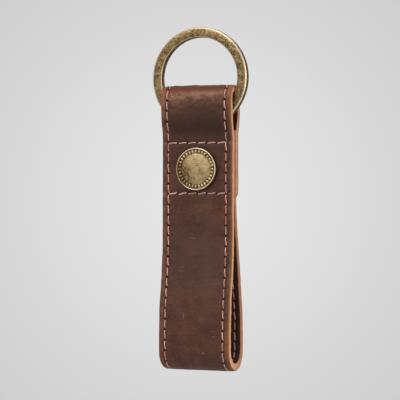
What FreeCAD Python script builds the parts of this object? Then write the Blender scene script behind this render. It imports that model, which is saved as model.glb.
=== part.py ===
import FreeCAD, Part
import os
import Sketcher
from FreeCAD import Placement, Rotation, Vector

# A leather key strap on a flat split ring, hanging from the ring.
#
# Units are millimetres. The origin is the hang point: the top of the ring's hole, where a hook bears.
# +Z is up, -Y is the front of the strap and X runs across it. One strip of leather starts between the
# layers, runs down the back, turns up at the bottom, climbs the front, folds over the ring and comes down
# behind as a short flap. Two edge seams run along the whole strip, and a box seam and a capped stud hold the
# three layers together under the ring.

doc = FreeCAD.newDocument("keychain")
sheet = doc.addObject("Spreadsheet::Sheet", "sizes")

SIZES = {
    # the leather strip
    "strap_width": 25.9,
    "leather": 2.1,                 # thickness of one layer
    "edge_round": 0.35,             # rounding of the burnished long edges
    "layer_gap": 0.08,              # between layers that are sewn together
    # the split ring
    "ring_play": 2.1,               # how much wider the ring's hole is than the strap
    "ring_band": 3.5,               # width of the flat band, seen from the front
    "coil": 1.45,                   # thickness of one of the two coils
    "coil_gap": 0.1,                # spring gap between the coils
    "ring_bevel": 0.5,              # bevel on the two faces of the ring
    "coil_bevel": 0.15,             # broken edges where the coils meet
    "crossover": 24.0,              # degrees over which the wire passes from one coil to the other
    "coil_end_gap": 3.0,            # degrees between a coil's end and the crossover
    # the eye, where the strip passes over the ring
    "fold_clearance": 0.55,         # from the ring's hole to the fold's corners
    "eye_play": 1.0,                # between the ring's face and the leather
    "eye_taper": 10.0,              # height over which the eye narrows to the sewn layers
    "taper_above_row": 0.5,         # the taper ends this far above the upper row of stitches
    "tongue_clearance": 0.8,        # from the ring down to the hidden end of the strip
    # the sewn box
    "tongue_margin": 4.2,           # from the hidden end down to the upper row of stitches
    "row_margin": 1.2,              # from the stud's cap to each row of stitches
    "flap_margin": 2.3,             # from the lower row to the end of the flap
    "flap_corner": 3.0,             # rounding of the flap's corners
    # the open loop below
    "front_closed": 9.8,            # from the flap's end to where the front leg bows out
    "front_taper": 38.0,            # height over which the front leg bows out
    "front_bow": 3.3,               # how far the front leg bows out
    "back_closed": 1.0,             # the same three for the back leg
    "back_taper": 44.8,
    "back_bow": 6.65,
    "back_kink": 10.0,              # radius of the bend where the back leg leaves the sewn layers
    "back_sweep": 65.0,             # radius of the bend where it hangs upright again
    "leg_straight": 3.8,            # plain front leg above the bottom bend
    # the thread and its grooves
    "seam_inset": 2.3,              # from the strap's edge to the edge seam
    "thread": 0.56,                 # diameter
    "thread_cover": 0.02,           # depth of the thread's top below the leather
    "groove_play": 0.07,            # on each side of the thread
    "thread_seat": 0.02,            # under the thread
    "row_end_gap": 0.2,             # between a row's thread and the edge seam's
    # the capped stud
    "stud_drop": 0.3,               # below the middle of the sewn box
    "cap_diameter": 15.0,
    "cap_skirt": 0.8,               # height of the cap's side
    "cap_height": 1.35,             # to the top of the rim
    "cap_sheet": 0.4,               # thickness of the metal
    "rim_width": 0.95,
    "band_depth": 0.42,             # of the sunk band below the rim
    "band_width": 1.75,
    "dome_rise": 0.3,               # of the middle above the sunk band
    "cap_clearance": 0.03,          # between cap, plate and leather
    "plate_thickness": 0.45,        # plate that the cap is rolled over
    "barrel_diameter": 4.0,
    "barrel_wall": 0.75,
    "barrel_length": 5.4,           # from the front face of the leather
    "hole_clearance": 0.1,          # around the barrel, in the leather
    "pin_clearance": 0.05,          # around the pin, in the barrel
    "pin_reach": 5.9,               # of the pin from the back face of the leather
    "head_diameter": 10.0,
    "head_thickness": 0.9,
    "head_round": 0.45,
}


def fill_sheet():
    """Write every driving size to the sheet, under an alias of its own name."""
    for row, (name, size) in enumerate(SIZES.items(), start=1):
        sheet.set(f"A{row}", name)
        sheet.set(f"B{row}", str(size))
        sheet.setAlias(f"B{row}", name)


def derive(name, formula):
    """Write a worked-out size below the driving ones; its formula may name any size above it."""
    row = derive.row
    sheet.set(f"A{row}", name)
    sheet.set(f"B{row}", "=" + formula)
    sheet.setAlias(f"B{row}", name)
    derive.row += 1


derive.row = len(SIZES) + 1


def fill_derived():
    """Work out the levels and offsets that several pieces share."""
    derive("half_width", "strap_width / 2")
    derive("half_leather", "leather / 2")
    derive("layer_pitch", "leather + layer_gap")
    derive("stack_face", "layer_pitch + half_leather")          # outer face of the sewn layers
    derive("hole_radius", "(strap_width + ring_play) / 2")      # of the ring
    derive("rim_radius", "hole_radius + ring_band")
    derive("ring_face", "coil + coil_gap / 2")                  # half the ring's thickness
    derive("fold_drop", "sqrt((hole_radius - fold_clearance) ^ 2 - (half_width - edge_round) ^ 2)")
    derive("eye_radius", "ring_face + eye_play")                # inside the fold
    derive("eye_offset", "eye_radius + half_leather")
    derive("eye_z", "-hole_radius - fold_drop - eye_radius")    # centre of the fold
    derive("tongue_z", "-hole_radius - rim_radius - tongue_clearance")
    derive("upper_row_z", "tongue_z - tongue_margin")
    derive("taper_end_z", "upper_row_z + taper_above_row")
    derive("taper_start_z", "taper_end_z + eye_taper")
    derive("box_height", "cap_diameter + 2 * row_margin")       # between the two rows
    derive("lower_row_z", "upper_row_z - box_height")
    derive("stud_z", "upper_row_z - box_height / 2 - stud_drop")
    derive("flap_z", "lower_row_z - flap_margin")
    derive("front_part_z", "flap_z - front_closed")             # where the front leg bows out
    derive("front_wide_z", "front_part_z - front_taper")
    derive("back_part_z", "flap_z - back_closed")
    derive("back_wide_z", "back_part_z - back_taper")
    derive("bend_z", "front_wide_z - leg_straight")             # centre of the bottom bend
    derive("front_y", "-layer_pitch - front_bow")
    derive("back_y", "back_bow")
    derive("back_bends", "back_kink + back_sweep")
    # the straight run between the back leg's two bends, and the angle by which it leans
    derive("back_run", "sqrt(back_taper ^ 2 + back_bow ^ 2 - 2 * back_bow * back_bends)")
    derive("back_lean", "asin((back_taper * back_bends - back_run * (back_bends - back_bow))"
                        " / (back_run ^ 2 + back_bends ^ 2))")
    derive("kink_y", "back_kink * (1 - cos(back_lean))")
    derive("kink_z", "back_part_z - back_kink * sin(back_lean)")
    derive("sweep_y", "back_y - back_sweep * (1 - cos(back_lean))")
    derive("sweep_z", "back_wide_z + back_sweep * sin(back_lean)")
    derive("seam_x", "half_width - seam_inset")
    derive("groove_half", "thread / 2 + groove_play")
    derive("groove_depth", "thread_cover + thread + thread_seat")
    derive("thread_depth", "thread_cover + thread / 2")         # of the thread's middle
    derive("barrel_radius", "barrel_diameter / 2")
    derive("bore_radius", "barrel_radius - barrel_wall")
    derive("cap_radius", "cap_diameter / 2")


fill_sheet()
fill_derived()
doc.recompute()


def number(formula):
    """The present value of a formula on the sheet's names, written as sizes.NAME."""
    return float(sheet.evalExpression(formula))


def new_body(name, z="0"):
    """An empty body whose own origin lies at height z on the vertical through the hang point."""
    body = doc.addObject("PartDesign::Body", name)
    body.Label = name
    body.Placement = Placement(Vector(0, 0, number(z)), Rotation())
    body.setExpression("Placement.Base.z", z)
    return body


def axis_or_plane(body, role):
    """One of the body's own origin axes or planes."""
    return next(f for f in body.Origin.OriginFeatures if f.Role == role)


def new_sketch(body, name, plane="XY_Plane", offset=None, turn=None):
    """A sketch on an origin plane, moved along its normal by offset or turned about its first axis."""
    sketch = body.newObject("Sketcher::SketchObject", name)
    sketch.AttachmentSupport = [(axis_or_plane(body, plane), "")]
    sketch.MapMode = "FlatFace"
    if offset is not None:
        sketch.AttachmentOffset = Placement(Vector(0, 0, number(offset)), Rotation())
        sketch.setExpression("AttachmentOffset.Base.z", offset)
    if turn is not None:
        sketch.AttachmentOffset = Placement(Vector(), Rotation(Vector(1, 0, 0), number(turn)))
        sketch.setExpression("AttachmentOffset.Rotation.Angle", turn)
    return sketch


START, END, CENTRE = range(1, 4)                 # the points of a line, arc or circle in a sketch


def pin(sketch, geometry, point, across=None, up=None):
    """Hold a point of a sketch at the formulas given for its two coordinates."""
    for kind, formula in (("DistanceX", across), ("DistanceY", up)):
        if formula is not None:
            index = sketch.addConstraint(Sketcher.Constraint(kind, geometry, point, number(formula)))
            sketch.setExpression(f"Constraints[{index}]", formula)


def trace(sketch, start, steps, closed=False):
    """Draw lines and arcs from point to point.

    start is (across, up). A step is (across, up) for a line, or (across, up, centre across, centre up,
    counter-clockwise) for an arc. A centre coordinate of None follows from the others.
    """
    here = start
    first = last = None
    for step in steps:
        there = step[:2]
        a = Vector(number(here[0]), number(here[1]), 0)
        b = Vector(number(there[0]), number(there[1]), 0)
        if len(step) == 2:
            piece = sketch.addGeometry(Part.LineSegment(a, b), False)
            head, tail = START, END
        else:
            piece, head, tail = add_arc(sketch, a, b, step[2], step[3], step[4])
        if last is None:
            first = (piece, head)
            pin(sketch, piece, head, *start)
        else:
            sketch.addConstraint(Sketcher.Constraint("Coincident", last[0], last[1], piece, head))
        last = (piece, tail)
        if closed and step is steps[-1]:
            sketch.addConstraint(Sketcher.Constraint("Coincident", piece, tail, first[0], first[1]))
        else:
            pin(sketch, piece, tail, *there)
        here = there


def add_arc(sketch, a, b, across, up, counter_clockwise):
    """An arc from a to b whose centre has the coordinate given; the other follows from the two ends."""
    middle = (a + b) / 2
    normal = Vector(a.y - b.y, b.x - a.x, 0)        # along the bisector of a and b
    if across is None:
        height = number(up)
        centre = middle + normal * ((height - middle.y) / normal.y)
    else:
        place = number(across)
        centre = middle + normal * ((place - middle.x) / normal.x)
    first, second = (a, b) if counter_clockwise else (b, a)
    circle = Part.Circle(centre, Vector(0, 0, 1), (a - centre).Length)
    begin, finish = (circle.parameter(first), circle.parameter(second))
    piece = sketch.addGeometry(Part.ArcOfCircle(circle, begin, finish), False)
    pin(sketch, piece, CENTRE, across, up)
    return (piece, START, END) if counter_clockwise else (piece, END, START)


def draw_circle(sketch, across, up, radius):
    """Draw a circle whose centre and radius follow formulas on the sheet."""
    centre = Vector(number(across), number(up), 0)
    circle = sketch.addGeometry(Part.Circle(centre, Vector(0, 0, 1), number(radius)), False)
    pin(sketch, circle, CENTRE, across, up)
    index = sketch.addConstraint(Sketcher.Constraint("Radius", circle, number(radius)))
    sketch.setExpression(f"Constraints[{index}]", radius)


def pipe(body, name, profile, path):
    """Sweep a closed profile along a whole path."""
    feature = body.newObject("PartDesign::AdditivePipe", name)
    feature.Profile = profile
    feature.Spine = path
    feature.Mode = "Standard"
    feature.Transition = "Transformed"
    profile.Visibility = path.Visibility = False
    return feature


def revolve(body, name, sketch, axis="Y_Axis", angle=None, backwards=False):
    """Turn a closed sketch about one of the body's axes, by a full turn or by an angle."""
    feature = body.newObject("PartDesign::Revolution", name)
    feature.Profile = sketch
    feature.ReferenceAxis = (axis_or_plane(body, axis), [""])
    feature.Angle = 360 if angle is None else number(angle)
    if angle is not None:
        feature.setExpression("Angle", angle)
    feature.Reversed = backwards
    return feature


def pocket(body, name, sketch, length=None):
    """Cut a sketch away from its normal by a length, or right through both ways."""
    feature = body.newObject("PartDesign::Pocket", name)
    feature.Profile = sketch
    if length is None:
        feature.Type = "ThroughAll"
        feature.Midplane = True
    else:
        feature.Type = "Length"
        feature.Length = number(length)
        feature.setExpression("Length", length)
    return feature


def ess(from_y, to_y, from_z, to_z):
    """Two equal tangent arcs that leave one upright run and join another."""
    middle = (f"({from_y} + {to_y}) / 2", f"({from_z} + {to_z}) / 2")
    turns_left = (number(to_y) > number(from_y)) == (number(to_z) < number(from_z))
    return [
        (*middle, None, from_z, turns_left),
        (to_y, to_z, None, to_z, not turns_left),
    ]


def strip_route(body):
    """The middle of the leather strip, seen from the side, from its hidden end to the flap's end."""
    sketch = new_sketch(body, body.Name + "_route", "YZ_Plane")
    pitch, eye = "sizes.layer_pitch", "sizes.eye_offset"
    steps = [("0", "sizes.back_part_z")]
    steps += [("sizes.kink_y", "sizes.kink_z", None, "sizes.back_part_z", True)]
    steps += [("sizes.sweep_y", "sizes.sweep_z")]
    steps += [("sizes.back_y", "sizes.back_wide_z", None, "sizes.back_wide_z", False)]
    steps += [("sizes.back_y", "sizes.bend_z")]
    steps += [("sizes.front_y", "sizes.bend_z", None, "sizes.bend_z", False)]
    steps += [("sizes.front_y", "sizes.front_wide_z")]
    steps += ess("sizes.front_y", "-" + pitch, "sizes.front_wide_z", "sizes.front_part_z")
    steps += [("-" + pitch, "sizes.taper_end_z")]
    steps += ess("-" + pitch, "-" + eye, "sizes.taper_end_z", "sizes.taper_start_z")
    steps += [("-" + eye, "sizes.eye_z")]
    steps += [(eye, "sizes.eye_z", None, "sizes.eye_z", False)]
    steps += [(eye, "sizes.taper_start_z")]
    steps += ess(eye, pitch, "sizes.taper_start_z", "sizes.taper_end_z")
    steps += [(pitch, "sizes.flap_z")]
    trace(sketch, ("0", "sizes.tongue_z"), steps)
    return sketch


def strip_section(body):
    """The strip cut across at its hidden end: rounded edges, and a groove for each of the four seams."""
    sketch = new_sketch(body, body.Name + "_section", "XY_Plane", offset="sizes.tongue_z")
    wide, thick, corner = "sizes.half_width", "sizes.half_leather", "sizes.edge_round"
    inner, outer = "sizes.seam_x - sizes.groove_half", "sizes.seam_x + sizes.groove_half"
    floor = f"{thick} - sizes.groove_depth"
    steps = []
    for face in (1, -1):                            # the outer face from right to left, then back below
        side = "" if face > 0 else "-"
        other = "-" if face > 0 else ""
        top, deep = f"{side}({thick})", f"{side}({floor})"
        steps += [(f"{side}({outer})", top), (f"{side}({outer})", deep)]
        steps += [(f"{side}({inner})", deep), (f"{side}({inner})", top)]
        steps += [(f"{other}({inner})", top), (f"{other}({inner})", deep)]
        steps += [(f"{other}({outer})", deep), (f"{other}({outer})", top)]
        steps += [(f"{other}({wide} - {corner})", top)]
        steps += [(f"{other}{wide}", f"{side}({thick} - {corner})",
                   f"{other}({wide} - {corner})", None, True)]
        steps += [(f"{other}{wide}", f"{other}({thick} - {corner})")]
        steps += [(f"{other}({wide} - {corner})", f"{other}({thick})",
                   f"{other}({wide} - {corner})", None, True)]
    start = steps[-1][:2]
    trace(sketch, start, steps, closed=True)
    return sketch


def cut_flap_corners(body):
    """Round the two corners at the end of the flap behind."""
    near = "sizes.stack_face - sizes.leather - sizes.layer_gap / 2"
    for side, sign in (("left", "-"), ("right", "")):
        sketch = new_sketch(body, f"flap_corner_{side}", "XZ_Plane", offset=f"-({near})")
        square = f"{sign}sizes.half_width"
        inset = f"{sign}(sizes.half_width - sizes.flap_corner)"
        level = "sizes.flap_z + sizes.flap_corner"
        trace(sketch, (inset, "sizes.flap_z"), [
            (square, level, inset, None, sign == ""),
            (f"{sign}(sizes.half_width + sizes.edge_round)", level),
            (f"{sign}(sizes.half_width + sizes.edge_round)", "sizes.flap_z - sizes.edge_round"),
            (inset, "sizes.flap_z - sizes.edge_round"),
            (inset, "sizes.flap_z"),
        ], closed=True)
        pocket(body, f"round_{side}", sketch, length="sizes.leather + sizes.layer_gap")


def cut_rows(body):
    """Cut the grooves of the two stitched rows into the front and into the flap."""
    for row in ("upper", "lower"):
        for face, sign in (("front", ""), ("flap", "-")):
            plane = f"{sign}(sizes.stack_face + sizes.edge_round)"
            sketch = new_sketch(body, f"{row}_row_{face}", "XZ_Plane", offset=plane)
            low = f"sizes.{row}_row_z - sizes.groove_half"
            high = f"sizes.{row}_row_z + sizes.groove_half"
            left, right = "-sizes.seam_x", "sizes.seam_x"
            trace(sketch, (left, low), [(right, low), (right, high), (left, high), (left, low)], closed=True)
            cut = pocket(body, f"{row}_groove_{face}", sketch, length="sizes.groove_depth + sizes.edge_round")
            cut.Reversed = face == "flap"


def cut_stud_hole(body):
    """Punch the stud's hole through the three sewn layers."""
    sketch = new_sketch(body, "stud_hole_circle", "XZ_Plane")
    draw_circle(sketch, "0", "sizes.stud_z", "sizes.barrel_radius + sizes.hole_clearance")
    pocket(body, "stud_hole", sketch)


def build_strap():
    """The leather strip, swept along its route, with its grooves, its stud hole and its rounded flap."""
    body = new_body("leather_strap")
    pipe(body, "strip", strip_section(body), strip_route(body))
    cut_flap_corners(body)
    cut_rows(body)
    cut_stud_hole(body)
    return body


def build_edge_seams():
    """Each edge seam's two threads: the needle thread outside and the bobbin thread inside the loop."""
    bodies = []
    for side, x_sign in (("left", "-"), ("right", "")):
        for role, y_sign in (("needle", ""), ("bobbin", "-")):
            body = new_body(f"{side}_seam_{role}_thread")
            section = new_sketch(body, body.Name + "_section", "XY_Plane", offset="sizes.tongue_z")
            x, y = f"{x_sign}sizes.seam_x", f"{y_sign}(sizes.half_leather - sizes.thread_depth)"
            draw_circle(section, x, y, "sizes.thread / 2")
            pipe(body, body.Name + "_run", section, strip_route(body))
            bodies.append(body)
    return bodies


def build_rows():
    """The threads of the two rows across the strap: needle thread in front, bobbin thread on the flap."""
    rows = []
    reach = "(sizes.seam_x - sizes.thread / 2 - sizes.row_end_gap)"
    depth = "(sizes.stack_face - sizes.thread_depth)"
    for row in ("upper", "lower"):
        for role, sign in (("needle", "-"), ("bobbin", "")):
            name = f"{row}_row_{role}_thread"
            thread = doc.addObject("Part::Cylinder", name)
            thread.Label = name
            thread.setExpression("Radius", "sizes.thread / 2")
            thread.setExpression("Height", f"2 * {reach}")
            thread.Placement = Placement(Vector(), Rotation(Vector(0, 1, 0), 90))
            thread.setExpression("Placement.Base.x", f"-{reach}")
            thread.setExpression("Placement.Base.y", sign + depth)
            thread.setExpression("Placement.Base.z", f"sizes.{row}_row_z")
            rows.append(thread)
    return rows


def coil_section(body, name, face, front_bevel, back_bevel, turn):
    """A coil's bevelled section, on a plane through the ring's axis; face is where its outside lies."""
    sketch = new_sketch(body, name, "YZ_Plane", turn=turn)
    sign = -1 if face == "front" else 1
    s = "-" if sign < 0 else ""
    out, near = f"{s}(sizes.ring_face)", f"{s}(sizes.coil_gap / 2)"
    out_in, near_in = (f"{s}(sizes.ring_face - {front_bevel})", f"{s}(sizes.coil_gap / 2 + {back_bevel})")
    low, high = "-sizes.rim_radius", "-sizes.hole_radius"
    corners = [
        (near_in, high), (near, f"{high} - {back_bevel}"), (near, f"{low} + {back_bevel}"), (near_in, low),
        (out_in, low), (out, f"{low} + {front_bevel}"), (out, f"{high} - {front_bevel}"), (out_in, high),
    ]
    trace(sketch, corners[-1], corners, closed=True)
    return sketch


def build_ring():
    """The flat split ring: a front coil, the crossover and a back coil, all one wire."""
    body = new_body("split_ring", "-sizes.hole_radius")
    sweep = "360 - sizes.crossover - sizes.coil_end_gap"
    half = "sizes.crossover / 2"
    front = coil_section(body, "front_coil_section", "front", "sizes.ring_bevel", "sizes.coil_bevel", half)
    revolve(body, "front_coil", front, angle=sweep)
    ramp = coil_section(body, "crossover_section", "front", "sizes.ring_bevel", "sizes.ring_bevel", half)
    helix = body.newObject("PartDesign::AdditiveHelix", "crossover")
    helix.Profile = ramp
    helix.ReferenceAxis = (axis_or_plane(body, "Y_Axis"), [""])
    helix.Mode = "height-turns-angle"
    helix.LeftHanded = True
    helix.setExpression("Height", "sizes.coil + sizes.coil_gap")
    helix.setExpression("Turns", "sizes.crossover / 360")
    back = coil_section(body, "back_coil_section", "back", "sizes.ring_bevel", "sizes.coil_bevel", "-" + half)
    revolve(body, "back_coil", back, angle=sweep, backwards=True)
    return body


def turned_piece(name, steps):
    """A piece turned about the stud's axis, from its closed half section (radius, place along Y)."""
    body = new_body(name, "sizes.stud_z")
    sketch = new_sketch(body, name + "_section")
    trace(sketch, steps[-1][:2], steps, closed=True)
    revolve(body, name + "_turning", sketch)
    return body


def build_cap():
    """The pressed cap: a rolled rim, a sunk band and a low domed middle, hollow behind."""
    def front(height):
        return f"-(sizes.stack_face + sizes.cap_clearance + {height})"

    radius, sheet_metal = "sizes.cap_radius", "sizes.cap_sheet"
    lip = f"{radius} - sizes.rim_width"
    band_outer = f"{lip} - sizes.band_depth"
    band_inner = f"{band_outer} - sizes.band_width"
    corner = f"{radius} - (sizes.cap_height - sizes.cap_skirt)"
    band = "sizes.cap_height - sizes.band_depth"
    return turned_piece("stud_cap", [
        (radius, front("0")),
        (radius, front("sizes.cap_skirt")),
        (corner, front("sizes.cap_height"), corner, None, False),
        (lip, front("sizes.cap_height")),
        (band_outer, front(band)),
        (band_inner, front(band)),
        ("0", front(f"{band} + sizes.dome_rise"), "0", None, False),
        ("0", front(f"{band} + sizes.dome_rise - {sheet_metal}")),
        (band_inner, front(f"{band} - {sheet_metal}"), "0", None, True),
        (band_outer, front(f"{band} - {sheet_metal}")),
        (lip, front(f"sizes.cap_height - {sheet_metal}")),
        (f"{radius} - {sheet_metal}", front(f"sizes.cap_height - {sheet_metal}")),
        (f"{radius} - {sheet_metal}", front("0")),
    ])


def build_hub():
    """The plate inside the cap, with the barrel that goes through the leather."""
    seat = "-(sizes.stack_face + sizes.cap_clearance)"
    front = f"{seat} - sizes.plate_thickness"
    tip = "sizes.barrel_length - sizes.stack_face"
    plate = "sizes.cap_radius - sizes.cap_sheet - sizes.cap_clearance"
    bore, barrel = "sizes.bore_radius", "sizes.barrel_radius"
    return turned_piece("stud_hub", [
        (plate, front), (plate, seat), (barrel, seat), (barrel, tip), (bore, tip), (bore, front),
    ])


def build_tack():
    """The tack behind: a low round head, and a pin that is driven into the barrel."""
    seat = "sizes.stack_face + sizes.cap_clearance"
    back = f"{seat} + sizes.head_thickness"
    shoulder = f"{back} - sizes.head_round"
    pin_radius = "sizes.bore_radius - sizes.pin_clearance"
    tip = "sizes.stack_face - sizes.pin_reach"
    rim, inner = "sizes.head_diameter / 2", "sizes.head_diameter / 2 - sizes.head_round"
    return turned_piece("stud_tack", [
        (pin_radius, tip), (pin_radius, seat), (rim, seat), (rim, shoulder),
        (inner, back, inner, None, True), ("0", back), ("0", tip),
    ])


def check(pieces):
    """Stop if any object failed, or if a piece is empty or not one sound solid."""
    failed = [o.Name for o in doc.Objects if {"Invalid", "Error"} & set(o.State)]
    if failed:
        raise RuntimeError("failed: " + ", ".join(failed))
    for piece in pieces:
        shape = piece.Shape
        if shape.isNull() or not shape.isValid() or len(shape.Solids) != 1:
            raise RuntimeError(f"{piece.Label} is not one sound solid")


def write(pieces):
    """Write one STEP file for each piece, named after it."""
    os.makedirs("parts", exist_ok=True)
    for piece in pieces:
        piece.Shape.exportStep(f"parts/{piece.Label}.step")
        print(f"{piece.Label}: {piece.Shape.Volume:.1f} mm3")


pieces = [build_ring(), build_strap(), *build_edge_seams(), *build_rows()]
pieces += [build_cap(), build_hub(), build_tack()]
doc.recompute()
check(pieces)
write(pieces)
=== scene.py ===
# %% [markdown]
# # A leather key strap, dressed over its CAD frame
#
# The object is a strip of brown oiled leather, folded over a flat split ring, stitched along both edges and
# held by two rows of stitches and a capped stud. The CAD frame already says where each piece is and how it
# moves. This lesson gives each piece its real surface. The steps are: read the frame, work out the strip's
# route, make the leather, the stitches, the ring and the stud, paint them, and light the scene.
#
# Lengths are in millimetres and become metres where a mesh is made. Only the lamps and the camera are placed
# in metres.

# %% The frame
import math

import bmesh
import bpy
import numpy as np
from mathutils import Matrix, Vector, noise


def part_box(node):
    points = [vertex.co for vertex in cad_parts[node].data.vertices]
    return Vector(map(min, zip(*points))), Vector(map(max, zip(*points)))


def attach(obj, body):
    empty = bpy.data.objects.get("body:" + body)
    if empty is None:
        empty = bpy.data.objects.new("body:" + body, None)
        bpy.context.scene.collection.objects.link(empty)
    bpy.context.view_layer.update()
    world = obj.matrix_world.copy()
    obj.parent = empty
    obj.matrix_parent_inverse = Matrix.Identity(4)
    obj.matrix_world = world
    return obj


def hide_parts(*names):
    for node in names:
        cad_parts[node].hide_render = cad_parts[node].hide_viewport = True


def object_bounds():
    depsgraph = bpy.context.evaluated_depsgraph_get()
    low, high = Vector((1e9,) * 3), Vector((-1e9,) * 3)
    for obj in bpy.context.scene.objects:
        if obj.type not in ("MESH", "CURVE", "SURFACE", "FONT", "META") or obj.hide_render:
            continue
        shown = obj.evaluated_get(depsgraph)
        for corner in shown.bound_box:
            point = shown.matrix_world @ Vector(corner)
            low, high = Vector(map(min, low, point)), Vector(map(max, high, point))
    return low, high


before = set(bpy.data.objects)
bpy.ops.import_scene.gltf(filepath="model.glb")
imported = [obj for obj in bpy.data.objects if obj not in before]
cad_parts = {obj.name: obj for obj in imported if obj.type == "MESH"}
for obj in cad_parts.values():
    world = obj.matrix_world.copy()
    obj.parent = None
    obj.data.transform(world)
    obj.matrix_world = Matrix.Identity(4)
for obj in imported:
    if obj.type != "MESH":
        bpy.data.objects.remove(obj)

MM = 0.001
cad_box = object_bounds()


def node_box(name):
    """A CAD node's lowest and highest corner, in millimetres."""
    low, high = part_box(name)
    return np.array(low) / MM, np.array(high) / MM


def node_middle(name, axis):
    """The middle of a CAD node's box along an axis: 0 across, 1 in depth, 2 in height."""
    low, high = node_box(name)
    return (low[axis] + high[axis]) / 2


strap_low, strap_high = node_box("leather_strap")
ring_low, ring_high = node_box("split_ring")
ring_centre = node_middle("split_ring", 2)
cap_radius = node_box("stud_cap")[1][0]
tack_radius, tack_top = node_box("stud_tack")[1][:2]
stud_z = node_middle("stud_cap", 2)
seam_x = node_middle("right_seam_needle_thread", 0)
upper_row_z = node_middle("upper_row_needle_thread", 2)
lower_row_z = node_middle("lower_row_needle_thread", 2)
print("the strap is", np.round(strap_high - strap_low, 2), "mm")

# %% [markdown]
# ## The sizes that everything shares
#
# A box tells how wide the strap is and where its seams and rows lie. What a box can't tell, such as the
# thickness of the leather, is written here once, and the rest is worked out from it.

# %% Shared sizes
LEATHER = 2.1                   # one layer
LAYER_GAP = 0.08                # between the sewn layers
EYE_PLAY = 1.0                  # between the ring and the leather
EYE_TAPER = 10.0                # the eye narrows to the sewn layers over this height
TAPER_ABOVE_ROW = 0.5
TONGUE_CLEARANCE = 0.8          # from the ring down to the strip's hidden end
FLAP_MARGIN = 2.3               # from the lower row to the end of the flap
FLAP_CORNER = 3.0
FRONT_CLOSED = 9.8              # from the flap's end to where the front leg bows out
FRONT_TAPER = 38.0              # the front leg bows out over this height
BACK_CLOSED = 1.0               # the same two for the back leg
BACK_TAPER = 44.8
BACK_KINK = 10.0                # radius of the bend where the back leg leaves the sewn layers
BACK_SWEEP = 65.0               # radius of the bend where it hangs upright again

half_width = strap_high[0]
half_leather = LEATHER / 2
layer_pitch = LEATHER + LAYER_GAP
stack_face = layer_pitch + half_leather
rim_radius, ring_face = ring_high[:2]
eye_offset = ring_face + EYE_PLAY + half_leather
eye_z = strap_high[2] - half_leather - eye_offset
tongue_z = ring_low[2] - TONGUE_CLEARANCE
taper_end_z = upper_row_z + TAPER_ABOVE_ROW
flap_z = lower_row_z - FLAP_MARGIN
front_part_z = flap_z - FRONT_CLOSED
front_wide_z = front_part_z - FRONT_TAPER
back_part_z = flap_z - BACK_CLOSED
back_wide_z = back_part_z - BACK_TAPER
front_y = strap_low[1] + half_leather
back_y = strap_high[1] - half_leather
bend_radius = (back_y - front_y) / 2
bend_z = strap_low[2] + half_leather + bend_radius
print(f"the legs part at {front_part_z:.1f} and {back_part_z:.1f} mm and turn round at {bend_z:.1f} mm")

# %% [markdown]
# ## The strip's route
#
# Seen from the side, the strip is one line of straight runs and arcs. Here it is drawn the way a plotter
# would: each run has a length and a turn, and adding up tiny steps gives the curve. An S-bend between two
# upright runs is two equal arcs, and its radius follows from its height and its shift. The back leg's two
# bends differ, with a straight run between them. The strip starts between the layers and heads down. A
# positive turn goes to the left of the heading, which is also the side where the grain of the leather lies.

# %% The route, as runs of (length, turn in radians)


def ess_bend(height, shift, first_turn):
    """Two equal arcs that move an upright run sideways by shift over a height."""
    radius = (height ** 2 + shift ** 2) / (4 * shift)
    turn = 2 * math.atan2(shift, height)
    return [(radius * turn, first_turn * turn), (radius * turn, -first_turn * turn)]


def leaning_run(height, shift, first_radius, last_radius, first_turn):
    """Two arcs with a straight run between them that move an upright run sideways."""
    bends = first_radius + last_radius
    straight = math.sqrt(height ** 2 + shift ** 2 - 2 * shift * bends)
    turn = math.atan2(straight, -bends) - math.atan2(height, shift - bends)
    swing = first_turn * turn
    return [(first_radius * turn, swing), (straight, 0), (last_radius * turn, -swing)]


LEFT, RIGHT = 1, -1
eye_run = eye_z - taper_end_z - EYE_TAPER
runs = [(tongue_z - back_part_z, 0)]
runs += leaning_run(BACK_TAPER, back_y, BACK_KINK, BACK_SWEEP, LEFT)
runs += [(back_wide_z - bend_z, 0), (math.pi * bend_radius, -math.pi), (front_wide_z - bend_z, 0)]
runs += ess_bend(FRONT_TAPER, -front_y - layer_pitch, RIGHT)
runs += [(taper_end_z - front_part_z, 0)]
runs += ess_bend(EYE_TAPER, eye_offset - layer_pitch, LEFT)
runs += [(eye_run, 0), (math.pi * eye_offset, -math.pi), (eye_run, 0)]
runs += ess_bend(EYE_TAPER, eye_offset - layer_pitch, RIGHT)
runs += [(taper_end_z - flap_z, 0)]
strip_length = sum(length for length, _ in runs)
print(f"{len(runs)} runs make a strip {strip_length:.1f} mm long")

# %% The route, as a table that can be read at any length along it
STEP = 0.02


def follow(runs, start, heading):
    """Points and headings every STEP along the runs: length, across the strap's depth, height, heading."""
    rows = [(0.0, *start, heading)]
    for length, turn in runs:
        count = max(1, round(length / STEP))
        part, bend = length / count, turn / count
        for _ in range(count):
            along, y, z, angle = rows[-1]
            middle = angle + bend / 2
            y, z = y + part * math.cos(middle), z + part * math.sin(middle)
            rows.append((along + part, y, z, angle + bend))
    return np.array(rows)


route = follow(runs, (0.0, tongue_z), -math.pi / 2)
top_row = int(np.argmax(route[:, 2]))
low_row = int(np.argmin(route[:, 2]))
print("the flap ends at", np.round(route[-1, 1:3], 2), "and should at", np.round((layer_pitch, flap_z), 2))


def route_point(along):
    """The middle of the strip at a length along it: depth, height, and the direction of its grain side."""
    y, z, angle = (np.interp(along, route[:, 0], route[:, k]) for k in (1, 2, 3))
    return y, z, -np.sin(angle), np.cos(angle)


def front_length(height):
    """How far along the strip its front leg reaches a height."""
    leg = route[low_row:top_row]
    return float(np.interp(height, leg[:, 2], leg[:, 0]))


def flap_length(height):
    """How far along the strip its flap reaches a height."""
    leg = route[top_row:][::-1]
    return float(np.interp(height, leg[:, 2], leg[:, 0]))


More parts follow.
